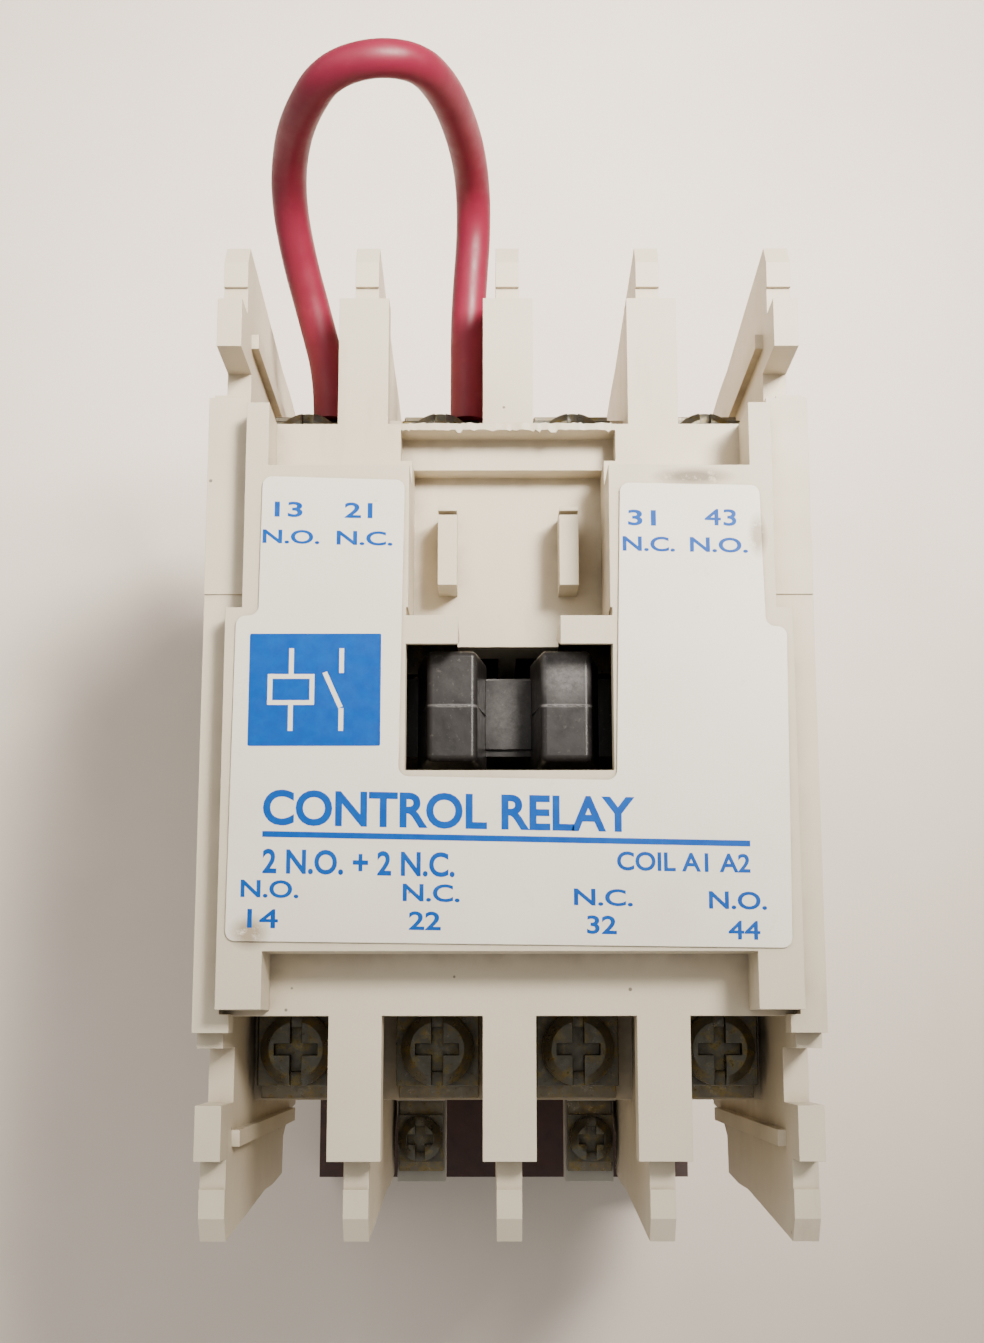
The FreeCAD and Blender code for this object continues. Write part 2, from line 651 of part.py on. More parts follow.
def stud(name, side):
    """One of the two tapered, rounded studs that show in the front window."""
    wedge = doc.addObject("Part::Wedge", name + "_wedge")
    quarter_turn = FreeCAD.Rotation(FreeCAD.Vector(1, 0, 0), 90)
    wedge.Placement = FreeCAD.Placement(FreeCAD.Vector(), quarter_turn)
    wedge.setExpression("Placement.Base.z", linked("web_top - 0.5"))
    inner, outer = (1.65, 6.9) if side > 0 else (-6.9, -1.65)
    face_inner, face_outer = (2.35, 6.0) if side > 0 else (-6.0, -2.35)
    limits = {"Xmin": inner, "Xmax": outer, "X2min": face_inner, "X2max": face_outer,
              "Zmin": -4.35, "Zmax": 4.35, "Z2min": -4.1, "Z2max": 4.1, "Ymin": 0}
    for limit, value in limits.items():
        wedge.setExpression(limit, linked(value))
    wedge.setExpression("Ymax", linked("stud_top - web_top + 0.5"))
    rounded = doc.addObject("Part::Fillet", name)
    rounded.Base = wedge
    doc.recompute()
    foot = size("web_top - 0.5")
    edges = [number for number, edge in enumerate(wedge.Shape.Edges, start=1)
             if edge.BoundBox.ZMax > foot + 0.1]
    rounded.Edges = [(number, 0.5, 0.5) for number in edges]
    return rounded


def crossbar():
    """Moulded carrier: foot on the armature, web with four contact windows, two front studs."""
    solids = [
        block("crossbar_web", ("0.6 - chamber_half_width", "chamber_half_width - 0.6"),
              ("-web_half", "web_half"), ("web_bottom", "web_top")),
        block("crossbar_column", (-9, 9), ("-web_half", "web_half"), ("armature_top", "web_bottom")),
        block("crossbar_foot", ("-core_half_width", "core_half_width"), (-9.1, 9.1),
              ("armature_top", "armature_top + 2.7")),
        block("stud_saddle", (-1.75, 1.75), (-2.5, 2.8), ("web_top - 0.5", "web_top + 0.4")),
    ]
    solids.extend(mirrored_blocks("crossbar_wing", (9, "chamber_half_width - 0.6"),
                                  ("-web_half", "web_half"), ("web_top", "wing_top")))
    for end_name, sign in ENDS.items():
        solids.append(block(f"crossbar_cheek_{end_name}", (-5, 5), end_range(sign, 7.1, 9.1),
                            (35.3, "armature_top")))
    for side_name, side in SIDES.items():
        solids.append(stud(f"stud_{side_name}", side))
    tools = [cross_rod("crossbar_pin_bore", "pin_radius", 0, (-9.1, 9.1), "pin_level")]
    for number, pole in POLES.items():
        heights = ("closed_window_low", "closed_window_high")
        if not pole["closed_at_rest"]:
            heights = ("open_window_low", "open_window_high")
        tools.append(block(f"window_{number}", pole_range(pole, "window_half"),
                           ("-web_half", "web_half"), heights))
    pierced = cut("crossbar_pierced", fuse("crossbar_mass", solids), tools)
    pegs = []
    for number, pole in POLES.items():
        heights = ("closed_window_low", "closed_window_low + 1.2")
        if not pole["closed_at_rest"]:
            heights = ("open_window_high - 1.2", "open_window_high")
        pegs.append(rod(f"spring_peg_{number}", 0.9, pole["place"], 0, heights))
    keep("crossbar", fuse("crossbar", [pierced] + pegs))


def contact_bridge(number, pole):
    """Brass bridge with two silver tips, facing the fixed contacts of its pole."""
    closed = pole["closed_at_rest"]
    heights = ("open_bridge_bottom", "open_bridge_bottom + bridge_thickness")
    tip_heights = ("open_bridge_bottom - tip_height", "open_bridge_bottom")
    if closed:
        heights = ("closed_bridge_top - bridge_thickness", "closed_bridge_top")
        tip_heights = ("closed_bridge_top", "closed_bridge_top + tip_height")
    keep(f"contact_bridge_{number}",
         block(f"contact_bridge_{number}", pole_range(pole, "bridge_half"),
               ("-bridge_reach", "bridge_reach"), heights))
    tips = [rod(f"moving_tip_{number}_{end_name}", "tip_radius", pole["place"],
                f"{sign} * tip_reach", tip_heights) for end_name, sign in ENDS.items()]
    keep(f"moving_tips_{number}", group(f"moving_tips_{number}", tips))


def coil_spring(name, mean_radius, wire, turns, ends, base, axis):
    """A helical spring of round wire between two ends along an axis through a base point."""
    low, high = ends
    span = high - low - 2 * wire
    helix = Part.makeHelix(span / turns, span, mean_radius)
    start = FreeCAD.Vector(mean_radius, 0, 0)
    section = Part.Wire(Part.makeCircle(wire, start, FreeCAD.Vector(0, 1, 0)))
    solid = Part.Wire(helix.Edges).makePipeShell([section], True, True)
    spring = doc.addObject("Part::Feature", name)
    spring.Shape = solid
    along = FreeCAD.Vector(*axis)
    turn = FreeCAD.Rotation(FreeCAD.Vector(0, 0, 1), along)
    spring.Placement = FreeCAD.Placement(FreeCAD.Vector(*base) + along * (low + wire), turn)
    keep(name, spring)


def springs():
    """Return spring, four contact springs and the latch spring."""
    upward = (0, 0, 1)
    coil_spring("return_spring", 9.7, 0.5, 4.5, (size("bobbin_top"), size("armature_yoke")),
                (0, 0, 0), upward)
    for number, pole in POLES.items():
        ends = (size("closed_window_low"), size("closed_bridge_top - bridge_thickness"))
        if not pole["closed_at_rest"]:
            ends = (size("open_bridge_bottom + bridge_thickness"), size("open_window_high"))
        coil_spring(f"contact_spring_{number}", 1.7, 0.3, 4.5, ends, (size(pole["place"]), 0, 0), upward)
    coil_spring("latch_spring", 1.1, 0.22, 5.5, (-27.4, -21.5), (0, 0, 1.9), (0, 1, 0))


# ---------------------------------------------------------------- terminals

def fixed_contact(terminal, pole, sign):
    """Brass plate from the terminal screw to the fixed contact, with a clearance bore."""
    plate = block(f"plate_{terminal}", pole_range(pole, "plate_half"),
                  end_range(sign, 6, "shelf_end - 0.2"), ("plate_bottom", "plate_top"))
    thread = rod(f"thread_{terminal}", "shank_radius + 0.08", pole["place"],
                 f"{sign} * terminal_reach", ("plate_bottom", "plate_top"))
    name = f"terminal_plate_{terminal}"
    keep(name, cut(name, plate, [thread]))


def terminal_screw(terminal, pole, sign):
    """Terminal screw and the square clamp washer that it carries."""
    along = f"{sign} * terminal_reach"
    screw = slotted_screw(f"screw_{terminal}", pole["place"], along, "head_radius", "shank_radius",
                          ("shelf_bottom + 2.5", "head_bottom", "head_top"))
    keep(f"terminal_screw_{terminal}", screw)
    plate = block(f"clamp_plate_{terminal}", pole_range(pole, "clamp_half"),
                  (f"{along} - clamp_depth", f"{along} + clamp_depth"), ("clamp_bottom", "head_bottom"))
    hole = rod(f"clamp_hole_{terminal}", "shank_radius + 0.08", pole["place"], along,
               ("clamp_bottom", "head_bottom"))
    keep(f"terminal_clamp_{terminal}", cut(f"terminal_clamp_{terminal}", plate, [hole]))


def fixed_tips():
    """Eight silver tips: on top of the outer poles' plates and under the inner poles' plates."""
    tips = []
    for number, pole in POLES.items():
        heights = ("plate_top", "plate_top + tip_height")
        if pole["closed_at_rest"]:
            heights = ("plate_bottom - tip_height", "plate_bottom")
        for end_name, sign in ENDS.items():
            tips.append(rod(f"fixed_tip_{number}_{end_name}", "tip_radius", pole["place"],
                            f"{sign} * tip_reach", heights))
    keep("fixed_contact_tips", group("fixed_contact_tips", tips))


def poles():
    """Every pole's plates, screws, clamps and bridge."""
    for number, pole in POLES.items():
        contact_bridge(number, pole)
        for end_name, sign in ENDS.items():
            fixed_contact(pole[end_name], pole, sign)
            terminal_screw(pole[end_name], pole, sign)
    fixed_tips()


# ---------------------------------------------------------------- cover and label

def front_cover():
    """Hollow U-shaped cover with a window, two lower legs, two arms and two clip posts."""
    lower = block("cover_lower", ("-cover_half_width", "cover_half_width"),
                  ("-cover_low", "cover_step"), ("deck_top", "cover_top"))
    arms = mirrored_blocks("cover_arm", ("track_half_width", "cover_arm_half"),
                           ("cover_step", "cover_arm_top"), ("deck_top", "cover_top"))
    posts = mirrored_blocks("cover_post", (17.65, "cover_arm_half"),
                            ("cover_arm_top", 22.2), ("deck_top", "cover_top"))
    front = size("cover_top")
    tab_outline = [(4.0, front), (6.1, front), (6.1, front - 7.6), (5.75, front - 7.6), (4.0, front - 0.4)]
    tabs = [prism("cover_tab_right", "YZ_Plane", tab_outline, 3.7, "window_edge"),
            prism("cover_tab_left", "YZ_Plane", tab_outline, "-window_edge", -3.7)]
    hollow_roof = "cover_top - cover_skin"
    tools = [
        block("cover_notch_room", ("-cover_leg_inner", "cover_leg_inner"),
              ("-cover_low", "-cover_notch"), ("deck_top", "cover_top")),
        block("cover_lower_room", ("cover_wall - cover_half_width", "cover_half_width - cover_wall"),
              ("cover_wall - cover_notch", "cover_step - cover_wall"), ("deck_top", hollow_roof)),
        block("cover_window", ("-window_edge", "window_edge"), ("-window_low", "cover_step"),
              ("deck_top", "cover_top")),
    ]
    tools.extend(mirrored_blocks("cover_arm_room",
                                 ("track_half_width + cover_wall", "cover_arm_half - cover_wall"),
                                 ("cover_step - 2 * cover_wall", "cover_arm_top - cover_wall"),
                                 ("deck_top", hollow_roof)))
    shell = cut("cover_shell", fuse("cover_mass", [lower] + arms), tools)
    keep("front_cover", fuse("front_cover", [shell] + posts + tabs))


def front_label():
    """Thin U-shaped label, turned clockwise by a degree where it was stuck on."""
    outline = [(-18.0, 16.5), (-7.6, 16.2), (-7.9, -5.6), (7.6, -5.9), (8.1, 16.0), (18.3, 15.8),
               (18.5, 5.3), (20.0, 5.2), (19.7, -17.7), (-19.9, -17.2), (-19.7, 6.0), (-18.1, 6.1)]
    blank = prism("label_blank", "XY_Plane", outline, "cover_top", "cover_top + label_thickness")
    doc.recompute()
    rounded = doc.addObject("Part::Fillet", "label_rounded")
    rounded.Base = blank
    rounded.Edges = [(number, 0.7, 0.7) for number in upright_edges(blank)]
    keep("front_label", rounded)


# ---------------------------------------------------------------- jumper wire

def route_vectors():
    return [FreeCAD.Vector(*point) for point in WIRE_ROUTE]


def route_radii(points):
    """Radius of the arc at each inner point, as large as its two runs allow."""
    radii = []
    for before, corner, after in zip(points, points[1:], points[2:]):
        arriving = corner - before
        leaving = after - corner
        turn = arriving.getAngle(leaving)
        radii.append(0.45 * min(arriving.Length, leaving.Length) / math.tan(turn / 2))
    return radii


def route_wire(points):
    """Straight runs joined by tangent arcs."""
    edges = []
    start = points[0]
    for index, radius in enumerate(route_radii(points), start=1):
        corner = points[index]
        arriving = (corner - points[index - 1]).normalize()
        leaving = (points[index + 1] - corner).normalize()
        turn = arriving.getAngle(leaving)
        setback = radius * math.tan(turn / 2)
        entry = corner - arriving * setback
        exit_point = corner + leaving * setback
        inward = (leaving - arriving).normalize()
        middle = corner + inward * (radius / math.cos(turn / 2) - radius)
        edges.append(Part.LineSegment(start, entry).toShape())
        edges.append(Part.Arc(entry, middle, exit_point).toShape())
        start = exit_point
    edges.append(Part.LineSegment(start, points[-1]).toShape())
    return Part.Wire(edges)


def jumper_wire():
    """Insulated lead looped from terminal 13 to terminal 21."""
    points = route_vectors()
    radius = size("wire_radius")
    path = route_wire(points)
    section = Part.Wire(Part.makeCircle(radius, points[0], points[1] - points[0]))
    lead = doc.addObject("Part::Feature", "jumper_wire")
    lead.Shape = path.makePipeShell([section], True, True)
    keep("jumper_wire", lead)
    expected = math.pi * radius ** 2 * path.Length
    print("wire length", round(path.Length, 2), "radii", [round(r, 1) for r in route_radii(points)])
    print("wire volume", round(lead.Shape.Volume, 1), "expected", round(expected, 1))


def jumper_conductors():
    """Bare strands between the terminal plates and the clamps, pressed flat."""
    strands = [block(f"strands_{terminal}", (f"{centre} - strand_half", f"{centre} + strand_half"),
                     ("terminal_reach - 2.2", route_end[1]), ("plate_top", "plate_top + strand_thickness"))
               for terminal, centre, route_end in (("13", -14.15, WIRE_ROUTE[0]),
                                                   ("21", -3.05, WIRE_ROUTE[-1]))]
    keep("jumper_conductors", group("jumper_conductors", strands))


# ---------------------------------------------------------------- build and export

def check_document():
    """Stops if any object failed to compute or any sub-part isn't a sound solid."""
    for item in doc.Objects:
        if "Invalid" in item.State or "Error" in item.State:
            raise RuntimeError(f"{item.Name} did not compute: {item.State}")
    for name, item in nodes.items():
        if item.Shape.isNull() or not item.Shape.isValid() or not item.Shape.Solids:
            raise RuntimeError(f"{name} is not a valid solid")


def export_parts():
    os.makedirs("parts", exist_ok=True)
    for name, item in nodes.items():
        item.Shape.exportStep(f"parts/{name}.step")
        print(name, len(item.Shape.Solids), round(item.Shape.Volume, 1))


fill_sheet()
mounting_base()
housing_screws()
din_latch()
magnet_core()
armature()
coil()
coil_terminals()
contact_housing()
crossbar()
poles()
springs()
front_cover()
front_label()
jumper_wire()
jumper_conductors()
doc.recompute()
check_document()
export_parts()
print(len(nodes), "sub-parts")
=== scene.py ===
import bmesh
import bpy
import json
import math
import random
from mathutils import Euler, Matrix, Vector


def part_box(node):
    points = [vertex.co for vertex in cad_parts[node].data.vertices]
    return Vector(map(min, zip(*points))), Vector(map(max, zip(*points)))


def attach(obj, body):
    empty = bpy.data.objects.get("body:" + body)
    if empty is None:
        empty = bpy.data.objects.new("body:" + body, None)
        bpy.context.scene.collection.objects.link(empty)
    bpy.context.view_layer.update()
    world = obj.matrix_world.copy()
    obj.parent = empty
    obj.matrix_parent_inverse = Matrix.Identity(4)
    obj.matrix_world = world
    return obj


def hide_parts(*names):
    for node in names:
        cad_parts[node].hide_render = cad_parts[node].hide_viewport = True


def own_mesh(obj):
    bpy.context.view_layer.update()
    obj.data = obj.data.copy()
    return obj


# Looks of the control relay, in metres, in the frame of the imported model:
# +Z towards the front cover, +Y towards the upper terminals.

MM = 0.001
ROOT = "relay_body"
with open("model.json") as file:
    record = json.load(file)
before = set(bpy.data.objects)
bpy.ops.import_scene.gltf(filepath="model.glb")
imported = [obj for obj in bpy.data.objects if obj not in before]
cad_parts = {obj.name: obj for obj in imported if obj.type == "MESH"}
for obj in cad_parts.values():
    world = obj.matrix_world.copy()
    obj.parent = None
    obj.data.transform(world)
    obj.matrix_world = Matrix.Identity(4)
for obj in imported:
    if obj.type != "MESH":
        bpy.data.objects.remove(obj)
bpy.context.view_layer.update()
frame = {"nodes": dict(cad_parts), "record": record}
NODES = frame["nodes"]
BODY_OF_NODE = {node: body
                for body, nodes in frame["record"]["behaviour"]["bodies"].items()
                for node in nodes}
SLOT_OF_NODE = {part["node"]: part["material_slot"] for part in frame["record"]["subparts"]}


# ---------------------------------------------------------------- shader graphs

class Shader:
    """A material with a Principled shader and short calls for the nodes that feed it."""

    CREVICE_SAMPLES = 6
    CREVICE_OCCLUSION = (0.35, 0.95)    # full effect at the first, none at the second
    SPOT_CORE = 0.35                    # share of a spot's half size that it covers fully

    def __init__(self, name):
        self.material = bpy.data.materials.new(name)
        self.material.use_nodes = True
        self.tree = self.material.node_tree
        self.surface = self.tree.nodes["Principled BSDF"]
        self.place = self.tree.nodes.new("ShaderNodeTexCoord").outputs["Object"]

    def link(self, source, target):
        """Feeds a socket from another socket, a number or a colour."""
        if hasattr(source, "is_linked"):
            self.tree.links.new(source, target)
        elif isinstance(source, tuple):
            target.default_value = (*source, 1.0)
        else:
            target.default_value = source

    def constant(self, **values):
        """Numbers and colours that are the same all over, on the shader's own sockets."""
        for socket, value in values.items():
            self.surface.inputs[socket.replace("_", " ")].default_value = value

    def stretched(self, scale):
        """Coordinates scaled differently along each axis."""
        node = self.tree.nodes.new("ShaderNodeMapping")
        self.tree.links.new(self.place, node.inputs["Vector"])
        node.inputs["Scale"].default_value = scale
        return node.outputs["Vector"]

    def noise(self, size_mm, detail=3.0, rough=0.55, place=None):
        """Noise whose features are about size_mm across."""
        node = self.tree.nodes.new("ShaderNodeTexNoise")
        self.tree.links.new(place or self.place, node.inputs["Vector"])
        node.inputs["Scale"].default_value = 1 / (size_mm * MM)
        node.inputs["Detail"].default_value = detail
        node.inputs["Roughness"].default_value = rough
        return node.outputs["Fac"]

    def cells(self, size_mm):
        """Distance to the middle of random cells about size_mm across."""
        node = self.tree.nodes.new("ShaderNodeTexVoronoi")
        self.tree.links.new(self.place, node.inputs["Vector"])
        node.inputs["Scale"].default_value = 1 / (size_mm * MM)
        return node.outputs["Distance"]

    def bands(self, direction, spacing_mm, distortion=0.0):
        """Parallel waves across an axis, one every spacing_mm."""
        node = self.tree.nodes.new("ShaderNodeTexWave")
        node.bands_direction = direction
        self.tree.links.new(self.place, node.inputs["Vector"])
        spacing_at_scale_one = 0.314
        node.inputs["Scale"].default_value = spacing_at_scale_one / (spacing_mm * MM)
        node.inputs["Distortion"].default_value = distortion
        return node.outputs["Fac"]

    def between(self, value, low, high, start=0.0, end=1.0):
        """Maps low..high to start..end and clamps it."""
        node = self.tree.nodes.new("ShaderNodeMapRange")
        self.link(value, node.inputs["Value"])
        for socket, number in zip(("From Min", "From Max", "To Min", "To Max"),
                                  (low, high, start, end)):
            node.inputs[socket].default_value = number
        return node.outputs["Result"]

    def times(self, first, second):
        """Product of two values."""
        node = self.tree.nodes.new("ShaderNodeMath")
        node.operation = "MULTIPLY"
        self.link(first, node.inputs[0])
        self.link(second, node.inputs[1])
        return node.outputs[0]

    def mix(self, amount, first, second):
        """A colour between two, all second where amount is 1."""
        node = self.tree.nodes.new("ShaderNodeMix")
        node.data_type = "RGBA"
        factor, colour_a, colour_b, colour_out = 0, 6, 7, 2
        self.link(amount, node.inputs[factor])
        self.link(first, node.inputs[colour_a])
        self.link(second, node.inputs[colour_b])
        return node.outputs[colour_out]

    def crevice(self, reach_mm):
        """1 in corners and crevices, 0 on open surfaces."""
        node = self.tree.nodes.new("ShaderNodeAmbientOcclusion")
        node.samples = self.CREVICE_SAMPLES
        node.inputs["Distance"].default_value = reach_mm * MM
        return self.between(node.outputs["AO"], *self.CREVICE_OCCLUSION, 1.0, 0.0)

    def spot(self, centre_mm, half_mm):
        """1 around a point, falling to 0 at the given half sizes."""
        node = self.tree.nodes.new("ShaderNodeMapping")
        self.tree.links.new(self.place, node.inputs["Vector"])
        scale = [1 / (half * MM) for half in half_mm]
        node.inputs["Scale"].default_value = scale
        node.inputs["Location"].default_value = [-MM * middle * factor
                                                 for middle, factor in zip(centre_mm, scale)]
        distance = self.tree.nodes.new("ShaderNodeVectorMath")
        distance.operation = "LENGTH"
        self.tree.links.new(node.outputs["Vector"], distance.inputs[0])
        return self.between(distance.outputs["Value"], self.SPOT_CORE, 1.0, 1.0, 0.0)

    def specks(self, spacing_mm, width, patch_mm, patches, amount):
        """Small dots, one in a random cell, in the places that a coarse noise picks."""
        dots = self.between(self.cells(spacing_mm), *width, 1.0, 0.0)
        chosen = self.between(self.noise(patch_mm, 0), *patches)
        return self.times(self.times(dots, chosen), amount)

    def bump(self, value, depth_mm, strength=1.0, below=None):
        """A normal that raises value by depth_mm, over another normal where one is given."""
        node = self.tree.nodes.new("ShaderNodeBump")
        node.inputs["Strength"].default_value = strength
        node.inputs["Distance"].default_value = depth_mm * MM
        self.link(value, node.inputs["Height"])
        if below is not None:
            self.tree.links.new(below, node.inputs["Normal"])
        return node.outputs["Normal"]

    def finish(self, colour, rough=None, normal=None):
        """Joins the graph to the shader and returns the material."""
        for value, socket in ((colour, "Base Color"), (rough, "Roughness"), (normal, "Normal")):
            if value is not None:
                self.tree.links.new(value, self.surface.inputs[socket])
        return self.material


# ---------------------------------------------------------------- materials

# Noise sizes, bump depths and reaches are in mm. The pair of numbers after a noise says where
# it starts and where it is full, and a second pair what it goes from and to.

# brown scuffs in mm, middle and half sizes: over the label's upper right arm, on the label's
# edge beside it, and at the label's lower left corner
SCUFFS = [
    ((13.5, 16.5, 78.0), (3.3, 0.8, 1.5)),
    ((18.1, 12.0, 78.2), (0.8, 1.9, 1.5)),
    ((-18.2, -16.6, 78.2), (1.6, 1.4, 1.5)),
]
SCUFF_AMOUNT = 0.95


def scuffed(shader, colour, tint):
    """The colour with ragged brown scuffs over it."""
    for centre, half in SCUFFS:
        ragged = shader.between(shader.noise(0.9, 5, 0.8), 0.30, 0.46)
        amount = shader.times(shader.times(shader.spot(centre, half), ragged), SCUFF_AMOUNT)
        colour = shader.mix(amount, colour, tint)
    return colour


def moulded_plastic(name, light, dark, grime_and_shade, speck, gloss=0.42):
    """Satin injection moulding: faint mottling, fine grain, specks, and grime with painted shade
    in the corners.
    """
    shader = Shader(name)
    mottle = shader.between(shader.noise(14, 4, 0.6), 0.35, 0.7)
    colour = shader.mix(mottle, light, dark)
    streak = shader.between(shader.noise(5, 5, 0.7, shader.stretched((1, 0.25, 1))), 0.6, 0.78)
    colour = shader.mix(shader.times(streak, 0.22), colour, grime_and_shade)
    # corners and crevices darkened towards the grime colour: partly grime, partly painted shade
    patchy = shader.between(shader.noise(2.2, 3), 0.3, 0.7, 0.25, 0.8)
    colour = shader.mix(shader.times(shader.crevice(1.6), patchy), colour, grime_and_shade)
    dots = shader.specks(3.1, (0.035, 0.05), 6.5, (0.56, 0.6), 0.75)
    colour = scuffed(shader, shader.mix(dots, colour, speck), grime_and_shade)
    rough = shader.between(shader.noise(3, 4, 0.7), 0.3, 0.7, gloss, gloss + 0.16)
    grain = shader.bump(shader.noise(0.22, 2, 0.6), 0.012, 0.5)
    waves = shader.bump(shader.noise(7, 2), 0.06, 0.35, grain)
    shader.constant(Specular_IOR_Level=0.42)
    return shader.finish(colour, rough, waves)


def label_film():
    """White printed film: bright, slightly glossy, with faint smudges and a few specks."""
    shader = Shader("label_film")
    tone = shader.between(shader.noise(11, 3), 0.35, 0.7)
    colour = shader.mix(tone, (0.91, 0.86, 0.745), (0.86, 0.81, 0.68))
    smudge = shader.between(shader.noise(4.5, 6, 0.75), 0.62, 0.8, 0.0, 0.28)
    colour = shader.mix(smudge, colour, (0.45, 0.41, 0.35))
    dots = shader.specks(4.3, (0.02, 0.03), 7.5, (0.57, 0.6), 0.7)
    colour = shader.mix(dots, colour, (0.12, 0.1, 0.08))
    colour = scuffed(shader, colour, (0.38, 0.30, 0.20))
    rough = shader.between(shader.noise(2.5, 5, 0.7), 0.3, 0.7, 0.26, 0.44)
    normal = shader.bump(shader.noise(0.9, 3), 0.01, 0.5)
    shader.constant(Specular_IOR_Level=0.5, Coat_Weight=0.15, Coat_Roughness=0.25)
    return shader.finish(colour, rough, normal)


def ink():
    """Matt blue screen-print ink, a little uneven."""
    shader = Shader("label_ink")
    tone = shader.between(shader.noise(1.2, 4, 0.7), 0.35, 0.7)
    colour = shader.mix(tone, (0.0, 0.068, 0.36), (0.0, 0.092, 0.43))
    rough = shader.between(shader.noise(0.8, 3), 0.3, 0.7, 0.3, 0.45)
    shader.constant(Specular_IOR_Level=0.15)
    return shader.finish(colour, rough)


# paler places on the crossbar, partly rubbed wear and partly painted highlight: middle and half
# sizes in mm, and how pale. On the left stud, the right stud and the web between them, then the
# two parting lines.
WORN_AND_HIGHLIGHT_PATCHES = [
    ((-4.0, 2.2, 75.0), (2.3, 2.6, 2.5), 0.10),
    ((4.2, 2.3, 75.0), (2.3, 2.7, 2.5), 0.58),
    ((0.0, 0.2, 73.0), (2.6, 4.6, 6.0), 0.50),
    ((-4.0, 0.0, 75.0), (3.2, 0.16, 4.0), 0.9),
    ((4.0, 0.0, 75.0), (3.2, 0.16, 4.0), 0.9),
]


def black_moulding():
    """Black carrier plastic with flow marks, dust, pale places that are rubbed wear and painted
    highlight, and a pale parting line.
    """
    shader = Shader("crossbar_black")
    flow = shader.between(shader.noise(3.5, 4, 0.6, shader.stretched((1, 0.3, 1))), 0.3, 0.75)
    colour = shader.mix(flow, (0.010, 0.009, 0.009), (0.022, 0.019, 0.019))
    dust = shader.between(shader.noise(0.35, 3, 0.7), 0.6, 0.78, 0.0, 0.35)
    colour = shader.mix(dust, colour, (0.2, 0.18, 0.17))
    # painted highlight over rubbed wear on the studs' upper halves and the web, and pale parting
    # lines
    for centre, half, pale in WORN_AND_HIGHLIGHT_PATCHES:
        ragged = shader.between(shader.noise(0.45, 5, 0.8), 0.3, 0.62, 0.35, 1.0)
        amount = shader.times(shader.spot(centre, half), ragged)
        colour = shader.mix(shader.times(amount, pale), colour, (0.21, 0.20, 0.20))
    rough = shader.between(shader.noise(1.1, 3, 0.6), 0.3, 0.7, 0.28, 0.44)
    normal = shader.bump(shader.noise(1.6, 3), 0.03, 0.5)
    normal = shader.bump(shader.noise(0.12, 2), 0.006, 0.4, normal)
    shader.constant(Specular_IOR_Level=0.33, Coat_Weight=0.06, Coat_Roughness=0.3)
    return shader.finish(colour, rough, normal)


def phenolic():
    """Dark maroon thermoset with a powdery, mottled surface."""
    shader = Shader("base_phenolic")
    mottle = shader.between(shader.noise(2.4, 6, 0.75), 0.35, 0.7)
    colour = shader.mix(mottle, (0.060, 0.022, 0.017), (0.030, 0.013, 0.011))
    fibre = shader.between(shader.noise(0.5, 4, 0.7), 0.62, 0.75, 0.0, 0.4)
    colour = shader.mix(fibre, colour, (0.13, 0.065, 0.045))
    crevice_amount = shader.times(shader.crevice(2.5), 0.5)
    colour = shader.mix(crevice_amount, colour, (0.09, 0.075, 0.06))
    rough = shader.between(shader.noise(1.5, 4), 0.3, 0.7, 0.38, 0.6)
    normal = shader.bump(shader.noise(0.3, 3, 0.65), 0.02, 0.6)
    return shader.finish(colour, rough, normal)


def plated_metal(name, clean, worn, tarnish):
    """Plated part: brushed plating, base metal showing in patches, tarnish in corners."""
    shader = Shader(name)
    wear = shader.between(shader.noise(0.9, 5, 0.7), 0.5, 0.64)
    colour = shader.mix(wear, clean, worn)
    spots = shader.between(shader.noise(0.45, 4, 0.75), 0.56, 0.72, 0.0, 0.7)
    colour = shader.mix(spots, colour, tarnish)
    crevice_amount = shader.times(shader.crevice(0.8), 0.6)
    colour = shader.mix(crevice_amount, colour, tarnish)
    rough = shader.between(shader.noise(0.6, 5, 0.7), 0.3, 0.7, 0.22, 0.5)
    scratches = shader.noise(0.25, 2, 0.5, shader.stretched((1, 0.08, 1)))
    normal = shader.bump(scratches, 0.012, 0.6)
    shader.constant(Metallic=1.0)
    return shader.finish(colour, rough, normal)


def laminations():
    """Stacked silicon steel: fine dark lines across the stack, rust specks on the cut edges."""
    shader = Shader("laminated_steel")
    sheet_thickness_mm = 0.5
    lines = shader.between(shader.bands("Y", sheet_thickness_mm), 0.0, 0.25)
    tone = shader.between(shader.noise(1.8, 5, 0.7), 0.3, 0.7)
    steel = shader.mix(tone, (0.30, 0.30, 0.31), (0.44, 0.44, 0.45))
    rust = shader.between(shader.noise(0.7, 5, 0.75), 0.6, 0.75, 0.0, 0.6)
    steel = shader.mix(rust, steel, (0.17, 0.08, 0.04))
    colour = shader.mix(lines, (0.05, 0.05, 0.05), steel)
    rough = shader.between(shader.noise(0.8, 4), 0.3, 0.7, 0.32, 0.55)
    normal = shader.bump(lines, 0.03, 0.6)
    shader.constant(Metallic=0.9)
    return shader.finish(colour, rough, normal)


def winding_copper():
    """Enamelled copper turns lying side by side up the bobbin."""
    shader = Shader("winding_copper")
    turn_mm = 0.3
    turns = shader.bands("Z", turn_mm, distortion=0.6)
    tone = shader.between(shader.noise(2.5, 3), 0.3, 0.7)
    colour = shader.mix(tone, (0.55, 0.17, 0.06), (0.38, 0.10, 0.035))
    normal = shader.bump(turns, 0.12, 1.0)
    rough = shader.between(shader.noise(1.0, 3), 0.3, 0.7, 0.2, 0.35)
    shader.constant(Metallic=0.9, Coat_Weight=0.4)
    return shader.finish(colour, rough, normal)


